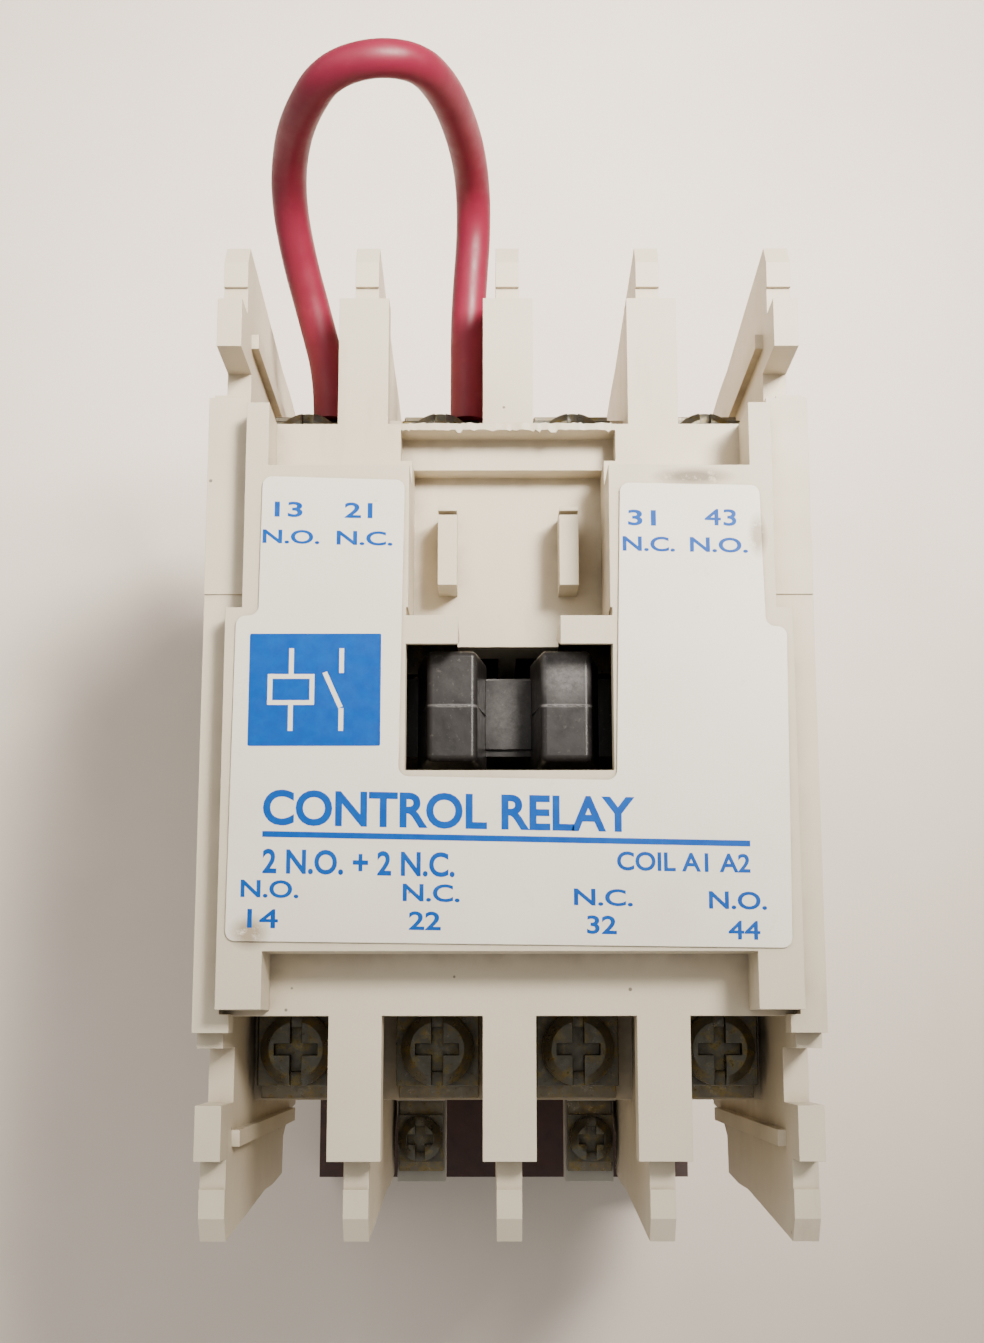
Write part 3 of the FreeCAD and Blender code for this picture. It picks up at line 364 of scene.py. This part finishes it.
def soft_plastic(name, light, dark, gloss):
    """Plain moulded plastic or rubber with a slight mottling."""
    shader = Shader(name)
    tone = shader.between(shader.noise(3.5, 4, 0.65), 0.3, 0.7)
    colour = shader.mix(tone, light, dark)
    # darker in corners and crevices
    crevice_amount = shader.times(shader.crevice(1.2), 0.45)
    colour = shader.mix(crevice_amount, colour, tuple(0.35 * part for part in dark))
    rough = shader.between(shader.noise(1.4, 4), 0.3, 0.7, gloss, gloss + 0.14)
    normal = shader.bump(shader.noise(0.3, 2), 0.01, 0.5)
    return shader.finish(colour, rough, normal)


def insulation():
    """Crimson PVC: smooth, with a waxy sheen, dull smears and faint draw marks along it."""
    shader = Shader("wire_pvc")
    tone = shader.between(shader.noise(6, 4, 0.6), 0.3, 0.7)
    colour = shader.mix(tone, (0.225, 0.006, 0.034), (0.165, 0.004, 0.024))
    bloom = shader.between(shader.noise(1.7, 5, 0.75), 0.56, 0.8, 0.0, 0.25)
    colour = shader.mix(bloom, colour, (0.30, 0.05, 0.07))
    rough = shader.between(shader.noise(2.1, 5, 0.7), 0.3, 0.7, 0.38, 0.6)
    normal = shader.bump(shader.noise(1.3, 4, 0.6), 0.02, 0.5)
    normal = shader.bump(shader.noise(0.2, 2), 0.004, 0.35, normal)
    shader.constant(Specular_IOR_Level=0.5, Subsurface_Weight=0.05,
                    Subsurface_Radius=(0.004, 0.0008, 0.0008), Subsurface_Scale=0.2)
    return shader.finish(colour, rough, normal)


def ground_cloth():
    """Plain pale studio surface, slightly uneven."""
    shader = Shader("pale_floor")
    tone = shader.between(shader.noise(40, 4, 0.6), 0.35, 0.65)
    colour = shader.mix(tone, (0.80, 0.72, 0.64), (0.75, 0.67, 0.59))
    normal = shader.bump(shader.noise(0.8, 3), 0.05, 0.3)
    shader.constant(Roughness=0.85, Specular_IOR_Level=0.2)
    return shader.finish(colour, normal=normal)


# Mouldings have a light and a dark tone, grime that is also painted shade in crevices, and specks;
# metals a clean, a worn and a tarnished colour; plastics a light and a dark tone and their
# roughness.
LOOKS = {
    "housing_plastic": moulded_plastic(
        "housing_plastic", (0.71, 0.63, 0.49), (0.65, 0.57, 0.43), (0.24, 0.19, 0.13),
        (0.07, 0.05, 0.035)),
    "base_phenolic": phenolic(),
    "label_film": label_film(),
    "label_ink": ink(),
    "crossbar_black": black_moulding(),
    "laminated_steel": laminations(),
    "steel": plated_metal("steel", (0.55, 0.55, 0.55), (0.45, 0.44, 0.42), (0.2, 0.17, 0.13)),
    "copper": plated_metal("copper", (0.72, 0.33, 0.18), (0.55, 0.22, 0.11), (0.2, 0.09, 0.05)),
    "winding_copper": winding_copper(),
    "rubber": soft_plastic("rubber", (0.03, 0.03, 0.03), (0.018, 0.018, 0.018), 0.7),
    "bobbin_plastic": soft_plastic(
        "bobbin_plastic", (0.50, 0.48, 0.43), (0.42, 0.40, 0.35), 0.4),
    "latch_plastic": soft_plastic(
        "latch_plastic", (0.03, 0.028, 0.027), (0.02, 0.019, 0.018), 0.4),
    # clean colour kept dark: partly dirty plating, partly painted shade for the deep terminal bays
    "plated_brass": plated_metal(
        "plated_brass", (0.19, 0.17, 0.13), (0.26, 0.20, 0.09), (0.055, 0.04, 0.024)),
    "silver": plated_metal("silver", (0.8, 0.8, 0.78), (0.68, 0.67, 0.64), (0.25, 0.23, 0.2)),
    # clean colour kept dark: partly dirty zinc, partly painted shade for the deep terminal bays
    "zinc_steel": plated_metal(
        "zinc_steel", (0.12, 0.116, 0.098), (0.20, 0.16, 0.07), (0.03, 0.024, 0.016)),
    "spring_steel": plated_metal(
        "spring_steel", (0.5, 0.5, 0.5), (0.42, 0.41, 0.4), (0.2, 0.18, 0.15)),
    "wire_pvc": insulation(),
}


# ---------------------------------------------------------------- building pieces

def mesh_from(work, name):
    """Turns a bmesh into a named mesh and frees it."""
    mesh = bpy.data.meshes.new(name)
    work.to_mesh(mesh)
    work.free()
    return mesh


def new_piece(name, mesh, look, body=ROOT, node=None):
    """Links a mesh as a piece that rides on a body and takes its finish from a slot."""
    piece = bpy.data.objects.new(name, mesh)
    bpy.context.scene.collection.objects.link(piece)
    mesh.materials.clear()
    mesh.materials.append(LOOKS[look])
    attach(piece, body)
    if node:
        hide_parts(node)
    return piece


def smooth_by_angle(mesh, degrees=32):
    """Smooth shading, with edges that turn by more than the angle kept sharp."""
    mesh.shade_smooth()
    mesh.set_sharp_from_angle(angle=math.radians(degrees))


def applied(piece):
    """Replaces a piece's mesh by what its modifiers make of it."""
    graph = bpy.context.evaluated_depsgraph_get()
    mesh = bpy.data.meshes.new_from_object(piece.evaluated_get(graph))
    piece.modifiers.clear()
    piece.data = mesh
    return mesh


MERGE_MM = 0.002            # vertices closer than this are one
FLAT_DEGREES = 1            # faces that turn less than this are one face
EDGE_DEGREES = 30           # edges that turn more than this are rounded
ROUNDED_SMOOTH_DEGREES = 50


def softened(node, width_mm, look):
    """A CAD node's shape with its edges rounded as a moulding's or a stamping's are."""
    mesh = NODES[node].data.copy()
    work = bmesh.new()
    work.from_mesh(mesh)
    bmesh.ops.remove_doubles(work, verts=work.verts, dist=MERGE_MM * MM)
    bmesh.ops.dissolve_limit(work, angle_limit=math.radians(FLAT_DEGREES), verts=work.verts,
                             edges=work.edges)
    work.to_mesh(mesh)
    work.free()
    piece = new_piece(node + "_moulded", mesh, look, body=BODY_OF_NODE[node], node=node)
    bevel = piece.modifiers.new("rounded", "BEVEL")
    bevel.width = width_mm * MM
    bevel.segments = 2
    bevel.limit_method = "ANGLE"
    bevel.angle_limit = math.radians(EDGE_DEGREES)
    bevel.miter_outer = "MITER_ARC"
    bevel.use_clamp_overlap = True
    smooth_by_angle(applied(piece), ROUNDED_SMOOTH_DEGREES)
    flats_first = piece.modifiers.new("flats_first", "WEIGHTED_NORMAL")
    flats_first.keep_sharp = True
    applied(piece)


# ---------------------------------------------------------------- moulded and metal pieces

EDGE_ROUNDING_MM = {
    "contact_housing": 0.18,
    "front_cover": 0.22,
    "crossbar": 0.15,
    "mounting_base": 0.25,
    "din_latch": 0.2,
    "coil_bobbin": 0.15,
    "front_label": 0.05,
}
SCREWS = ("terminal_screw", "coil_screw")
SCREW_ROUNDING_MM = 0.12
STAMPINGS = ("terminal_clamp", "terminal_plate", "coil_terminal")
STAMPING_ROUNDING_MM = 0.15


def round_the_mouldings():
    """Housing, cover, crossbar, base, latch, bobbin and label with rounded edges."""
    for node, width_mm in EDGE_ROUNDING_MM.items():
        softened(node, width_mm, SLOT_OF_NODE[node])


def round_the_metalwork():
    """Screws, clamps and plates: stamped and turned parts with small rounded edges."""
    for node in NODES:
        if node.startswith(SCREWS):
            softened(node, SCREW_ROUNDING_MM, "zinc_steel")
        elif node.startswith(STAMPINGS):
            softened(node, STAMPING_ROUNDING_MM, SLOT_OF_NODE[node])


def finish_the_rest():
    """Every CAD node gets its slot's material, and the winding its own."""
    special = {"coil_winding": "winding_copper"}
    for node, item in NODES.items():
        look = special.get(node, SLOT_OF_NODE[node])
        item.data.materials.clear()
        item.data.materials.append(LOOKS[look])
        smooth_by_angle(item.data)


# ---------------------------------------------------------------- moulding flash

def thin_strip(name, sections, look, body):
    """A closed strip through sections of four corners each, given in mm."""
    work = bmesh.new()
    rings = [[work.verts.new([MM * value for value in corner]) for corner in section]
             for section in sections]
    for ring, following in zip(rings, rings[1:]):
        for index in range(4):
            after = (index + 1) % 4
            work.faces.new((ring[index], ring[after], following[after], following[index]))
    work.faces.new(rings[0][::-1])
    work.faces.new(rings[-1])
    bmesh.ops.recalc_face_normals(work, faces=work.faces)
    mesh = mesh_from(work, name)
    smooth_by_angle(mesh, ROUNDED_SMOOTH_DEGREES)
    new_piece(name, mesh, look, body=body)


# the parting line over the right stud: x and z in mm, and the way out of the stud in x and z
STUD_TOP = [(2.85 + 0.13 * step, 75.0, 0, 1) for step in range(20)]
STUD_OUTLINE = [
    (1.68, 70.4, -1, 0), (2.0, 72.4, -1, 0), (2.3, 74.5, -1, 0.15), (2.5, 74.85, -0.7, 0.7),
    *STUD_TOP,
    (5.55, 75.0, 0, 1), (5.92, 74.82, 0.7, 0.7), (6.1, 74.4, 1, 0.15), (6.4, 72.4, 1, 0),
    (6.7, 70.4, 1, 0),
]
FLASH_ROOT_MM = 0.12                # how deep the flash starts in the stud
FLASH_REACH_MM = (0.03, 0.10)
FLASH_HALF_THICKNESS_MM = (0.03, 0.06)
FLASH_WANDER_MM = 0.02
FLASH_TAPER = 0.4                   # its outer edge's share of its thickness


def stud_flash():
    """Ragged line where the mould halves met, over the middle of each stud."""
    for name, side in (("left", -1), ("right", 1)):
        dice = random.Random(41 + side)
        sections = []
        for x, z, out_x, out_z in STUD_OUTLINE:
            reach = dice.uniform(*FLASH_REACH_MM)
            half = dice.uniform(*FLASH_HALF_THICKNESS_MM)
            middle = dice.uniform(-FLASH_WANDER_MM, FLASH_WANDER_MM)
            inner_x, inner_z = side * (x - FLASH_ROOT_MM * out_x), z - FLASH_ROOT_MM * out_z
            outer_x, outer_z = side * (x + reach * out_x), z + reach * out_z
            edge = FLASH_TAPER * half
            sections.append([(inner_x, middle - half, inner_z), (inner_x, middle + half, inner_z),
                             (outer_x, middle + edge, outer_z), (outer_x, middle - edge, outer_z)])
        thin_strip(f"stud_flash_{name}", sections, "crossbar_black", "plunger")


BURR_HALF_LENGTH_MM = 8.1
BURR_STEP_MM = (0.12, 0.4)
LIP_FACES_MM = (21.78, 22.32)                   # y of the lip's inner and outer face
LIP_ROOT_MM, LIP_TOP_MM = 72.5, 72.72           # z the burr starts at and the lip's top
BURR_INWARD_MM = (0.02, 0.05, 0.08, 0.28)       # mostly small, now and then a long tooth
BURR_OUTWARD_MM = 0.12
BURR_RISE_MM = 0.1
BURR_CHAMFER_MM = 0.05


def lip_burr():
    """Torn flash along the thin wall at the upper end of the accessory track."""
    dice = random.Random(7)
    sections = []
    x = -BURR_HALF_LENGTH_MM
    while x < BURR_HALF_LENGTH_MM:
        inward = LIP_FACES_MM[0] - dice.choice(BURR_INWARD_MM) * dice.random()
        outward = LIP_FACES_MM[1] + BURR_OUTWARD_MM * dice.random()
        top = LIP_TOP_MM + BURR_RISE_MM * dice.random()
        sections.append([(x, inward, LIP_ROOT_MM), (x, outward, LIP_ROOT_MM),
                         (x, outward - BURR_CHAMFER_MM, top), (x, inward + BURR_CHAMFER_MM, top)])
        x += dice.uniform(*BURR_STEP_MM)
    thin_strip("lip_burr", sections, "housing_plastic", ROOT)


# ---------------------------------------------------------------- springs

# node, body, joint, axis, point that stays put (m), share of the length kept at the joint's limit
SPRINGS = [
    ("return_spring", ROOT, "plunger_slide", (0, 0, 1), (0, 0, 0.0245), 0.476),
    ("contact_spring_1", "plunger", "bridge_1_slide", (0, 0, 1), (0, 0, 0.0671), 0.595),
    ("contact_spring_4", "plunger", "bridge_4_slide", (0, 0, 1), (0, 0, 0.0671), 0.595),
    ("latch_spring", ROOT, "rail_latch_slide", (0, 1, 0), (0, -0.0274, 0), 0.49),
]


def springs():
    """Spring coils copied from their CAD shapes, smooth shaded, each riding on its body."""
    for node, body, joint, axis, fixed_end, keep in SPRINGS:
        spring = new_piece(node + "_coil", NODES[node].data.copy(), "spring_steel", body=body,
                           node=node)
        smooth_by_angle(spring.data)
        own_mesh(spring)


# ---------------------------------------------------------------- printed label

LABEL_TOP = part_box("front_label")[1].z
INK_RISE = 0.012 * MM
LAYER_RISE = 0.0008 * MM
TILT = math.radians(-1.2)       # the print leans a little on its film

# words, left and right edge, baseline and letter height in mm
PRINT = [
    ("13", -17.07, -15.03, 13.40, 1.17),
    ("N.O.", -17.90, -13.76, 11.42, 1.05),
    ("21", -11.97, -9.93, 13.32, 1.17),
    ("N.C.", -12.52, -8.45, 11.29, 1.08),
    ("31", 8.66, 10.70, 12.74, 1.20),
    ("N.C.", 8.25, 12.05, 10.83, 1.12),
    ("43", 14.27, 16.52, 12.76, 1.20),
    ("N.O.", 13.13, 17.34, 10.75, 1.13),
    ("CONTROL RELAY", -17.43, 8.83, -9.10, 2.55),
    ("2 N.O. + 2 N.C.", -17.38, -3.87, -12.50, 1.75),
    ("COIL A1 A2", 7.53, 16.90, -12.30, 1.35),
    ("N.O.", -18.87, -14.80, -14.16, 1.25),
    ("14", -18.32, -16.23, -16.25, 1.27),
    ("N.C.", -7.51, -3.51, -14.45, 1.25),
    ("22", -7.07, -4.83, -16.43, 1.30),
    ("N.C.", 4.48, 8.61, -14.74, 1.20),
    ("32", 5.37, 7.46, -16.72, 1.30),
    ("N.O.", 13.93, 17.99, -14.99, 1.26),
    ("44", 15.28, 17.44, -17.07, 1.25),
]
UNDERLINE = ((-17.43, -9.72), (16.93, -10.42), 0.42)    # its ends and width in mm
HEAVY_WORDS = ("CONTROL RELAY", "2 N.O. + 2 N.C.")
HEAVY_GROWTH = 0.028            # how far strokes are thickened, as a share of the letters' size
STROKE_GROWTH = 0.023
CURVE_STEPS = 5
# A 4 has a small closed counter that an offset outline spoils, so words with one are
# thickened by copies, each moved a little and laid just above the last.
COPY_DIRECTIONS = ((-1, -1), (1, 1), (1, -1), (-1, 1))


def flat_words(words, left, right, baseline, letter_height):
    """Corner coordinates and faces of words set in the plain built-in face."""
    curve = bpy.data.curves.new("words", "FONT")
    curve.body = words
    if "4" not in words:
        curve.offset = HEAVY_GROWTH if words in HEAVY_WORDS else STROKE_GROWTH
    curve.resolution_u = CURVE_STEPS
    holder = bpy.data.objects.new("words", curve)
    bpy.context.scene.collection.objects.link(holder)
    bpy.context.view_layer.update()
    graph = bpy.context.evaluated_depsgraph_get()
    mesh = bpy.data.meshes.new_from_object(holder.evaluated_get(graph))
    xs = [vertex.co.x for vertex in mesh.vertices]
    ys = [vertex.co.y for vertex in mesh.vertices]
    across = (right - left) / (max(xs) - min(xs))
    upward = letter_height / (max(ys) - min(ys))
    points = [(left + (x - min(xs)) * across, baseline + (y - min(ys)) * upward)
              for x, y in zip(xs, ys)]
    faces = [tuple(polygon.vertices) for polygon in mesh.polygons]
    bpy.data.objects.remove(holder)
    bpy.data.curves.remove(curve)
    return points, faces


def add_flat(work, points, faces, tilt_from=None, rise=INK_RISE):
    """Adds flat faces just above the label, leaning from the given x on where there is one."""
    corners = []
    for x, y in points:
        if tilt_from is not None:
            y = y + math.tan(TILT) * (x - tilt_from)
        corners.append(work.verts.new((x * MM, y * MM, LABEL_TOP + rise)))
    for face in faces:
        work.faces.new([corners[index] for index in face])


def bar(work, start, end, width):
    """A straight printed stroke."""
    (x0, y0), (x1, y1) = start, end
    length = math.hypot(x1 - x0, y1 - y0)
    nx, ny = (y0 - y1) / length * width / 2, (x1 - x0) / length * width / 2
    corners = [(x0 - nx, y0 - ny), (x1 - nx, y1 - ny), (x1 + nx, y1 + ny), (x0 + nx, y0 + ny)]
    add_flat(work, corners, [(0, 1, 2, 3)])


def rounded_outline(centre, half_width, half_height, radius):
    """Outline of a rectangle with round corners."""
    steps = 8
    points = []
    for quarter in range(4):
        corner_x = centre[0] + (half_width - radius) * (1 if quarter in (0, 3) else -1)
        corner_y = centre[1] + (half_height - radius) * (1 if quarter in (0, 1) else -1)
        for step in range(steps + 1):
            angle = math.radians(90 * quarter + 90 * step / steps)
            points.append((corner_x + radius * math.cos(angle),
                           corner_y + radius * math.sin(angle)))
    return points


def label_print():
    """Terminal numbers, contact kinds, plain words and an underline, in blue."""
    work = bmesh.new()
    for words, left, right, baseline, letter_height in PRINT:
        points, faces = flat_words(words, left, right, baseline, letter_height)
        add_flat(work, points, faces, left)
        if "4" in words:
            growth = STROKE_GROWTH * letter_height
            for layer, (across, upward) in enumerate(COPY_DIRECTIONS, start=1):
                moved = [(x + across * growth, y + upward * growth) for x, y in points]
                add_flat(work, moved, faces, left, INK_RISE + layer * LAYER_RISE)
    bar(work, *UNDERLINE)
    new_piece("label_print", mesh_from(work, "label_print"), "label_ink")


PATCH_CENTRE = (-13.92, 0.62)
PATCH_HALF_SIZES = (4.72, 4.08)
PATCH_CORNER_RADIUS = 0.12
STROKE_WIDTH = 0.34

# middle of each symbol across from the patch's centre, and the two ends of its strokes, in mm
COIL = (-1.7, [
    ((0, 3.0), (0, 1.12)),
    ((0, -1.12), (0, -3.0)),
    ((-1.67, 0.95), (1.67, 0.95)),
    ((-1.67, -0.95), (1.67, -0.95)),
    ((-1.5, 0.78), (-1.5, -0.78)),
    ((1.5, 0.78), (1.5, -0.78)),
])
OPEN_CONTACT = (1.9, [
    ((0, 3.0), (0, 1.2)),
    ((0, -1.35), (0, -3.0)),
    ((-0.04, -1.3), (-1.2, 1.25)),
])


def contact_symbol():
    """Blue patch with a circuit symbol in white: a coil box on a line beside an open contact."""
    patch = bmesh.new()
    outline = rounded_outline(PATCH_CENTRE, *PATCH_HALF_SIZES, PATCH_CORNER_RADIUS)
    add_flat(patch, outline, [tuple(range(len(outline)))])
    new_piece("symbol_patch", mesh_from(patch, "symbol_patch"), "label_ink")
    lines = bmesh.new()
    patch_x, patch_y = PATCH_CENTRE
    for across, strokes in (COIL, OPEN_CONTACT):
        for ends in strokes:
            start, end = [(patch_x + across + x, patch_y + y) for x, y in ends]
            bar(lines, start, end, STROKE_WIDTH)
    for vertex in lines.verts:
        vertex.co.z += INK_RISE
    new_piece("symbol_lines", mesh_from(lines, "symbol_lines"), "label_film")


# ---------------------------------------------------------------- jumper wire

# from terminal 13, up over the loop's top, to terminal 21
WIRE_ROUTE_MM = [
    (-15.0, 27.8, 56.9),
    (-15.0, 31.6, 56.9),
    (-16.4, 36.8, 57.8),
    (-17.7, 41.4, 60.4),
    (-18.3, 45.4, 63.6),
    (-17.6, 47.6, 68.2),
    (-16.2, 48.3, 72.8),
    (-14.0, 49.2, 77.0),
    (-10.4, 49.8, 78.3),
    (-6.9, 50.1, 77.0),
    (-5.1, 50.2, 72.8),
    (-4.0, 49.9, 68.2),
    (-3.2, 49.2, 63.6),
    (-2.8, 47.7, 59.4),
    (-2.8, 44.4, 57.2),
    (-3.1, 40.2, 57.2),
    (-3.3, 36.2, 57.2),
    (-3.3, 32.2, 56.9),
    (-3.3, 27.8, 56.9),
]
WIRE_RADIUS_MM = 1.47


def jumper_wire():
    """The insulated lead as one round cord."""
    curve = bpy.data.curves.new("jumper_lead", "CURVE")
    curve.dimensions = "3D"
    spline = curve.splines.new("NURBS")
    spline.points.add(len(WIRE_ROUTE_MM) - 1)
    for point, place in zip(spline.points, WIRE_ROUTE_MM):
        point.co = (*(MM * value for value in place), 1.0)
    spline.order_u = 3
    spline.use_endpoint_u = True
    curve.resolution_u = 14
    curve.bevel_depth = WIRE_RADIUS_MM * MM
    curve.bevel_resolution = 10
    curve.use_fill_caps = True
    curve.materials.append(LOOKS["wire_pvc"])
    lead = bpy.data.objects.new("jumper_lead", curve)
    bpy.context.scene.collection.objects.link(lead)
    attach(lead, ROOT)
    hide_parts("jumper_wire")


# ---------------------------------------------------------------- stage

# name, place, target, side of its square (m), spread in degrees, watts, colour
LAMPS = [
    ("key", (0.14, 0.14, 0.38), (0.015, 0.080, 0.05), 0.10, 42, 0.35, (1.0, 0.93, 0.84)),
    ("side", (-0.30, 0.26, 0.46), (0, 0, 0.03), 0.40, 180, 0.80, (1.0, 0.94, 0.87)),
]
WORLD_COLOUR = (1.0, 0.965, 0.91, 1.0)
WORLD_STRENGTH = 0.55
FLOOR_SIDE_M = 3


def stage():
    """Pale floor under the mounting plane, a narrow key, a wide side light and a warm sky."""
    bpy.ops.mesh.primitive_plane_add(size=FLOOR_SIDE_M, location=(0, 0, 0))
    floor = bpy.context.object
    floor.name = "floor"
    floor.data.materials.append(ground_cloth())
    for name, place, target, side, spread, watts, colour in LAMPS:
        lamp = bpy.data.lights.new(name, "AREA")
        lamp.shape = "SQUARE"
        lamp.size = side
        lamp.spread = math.radians(spread)
        lamp.energy = watts
        lamp.color = colour
        holder = bpy.data.objects.new(name, lamp)
        holder.location = place
        aim = Vector(target) - Vector(place)
        holder.rotation_euler = aim.to_track_quat("-Z", "Y").to_euler()
        bpy.context.scene.collection.objects.link(holder)
    world = bpy.data.worlds.new("studio")
    world.use_nodes = True
    sky = world.node_tree.nodes["Background"]
    sky.inputs["Color"].default_value = WORLD_COLOUR
    sky.inputs["Strength"].default_value = WORLD_STRENGTH
    bpy.context.scene.world = world


CAMERA_PLACE = (-0.00135, -0.02313, 0.20878)
CAMERA_TURN_DEGREES = (10.86, -0.04, -0.04)
LENS_MM, SENSOR_MM = 49.75, 36
NEAREST_M = 0.01


def camera():
    """A hand-held view from in front of the cover, slightly below its middle."""
    lens = bpy.data.cameras.new("camera")
    lens.lens = LENS_MM
    lens.sensor_width = SENSOR_MM
    lens.clip_start = NEAREST_M
    holder = bpy.data.objects.new("camera", lens)
    holder.location = CAMERA_PLACE
    holder.rotation_euler = Euler([math.radians(value) for value in CAMERA_TURN_DEGREES])
    bpy.context.scene.collection.objects.link(holder)
    bpy.context.scene.camera = holder


camera()
stage()
jumper_wire()
finish_the_rest()
round_the_mouldings()
round_the_metalwork()
springs()
stud_flash()
lip_burr()
label_print()
contact_symbol()
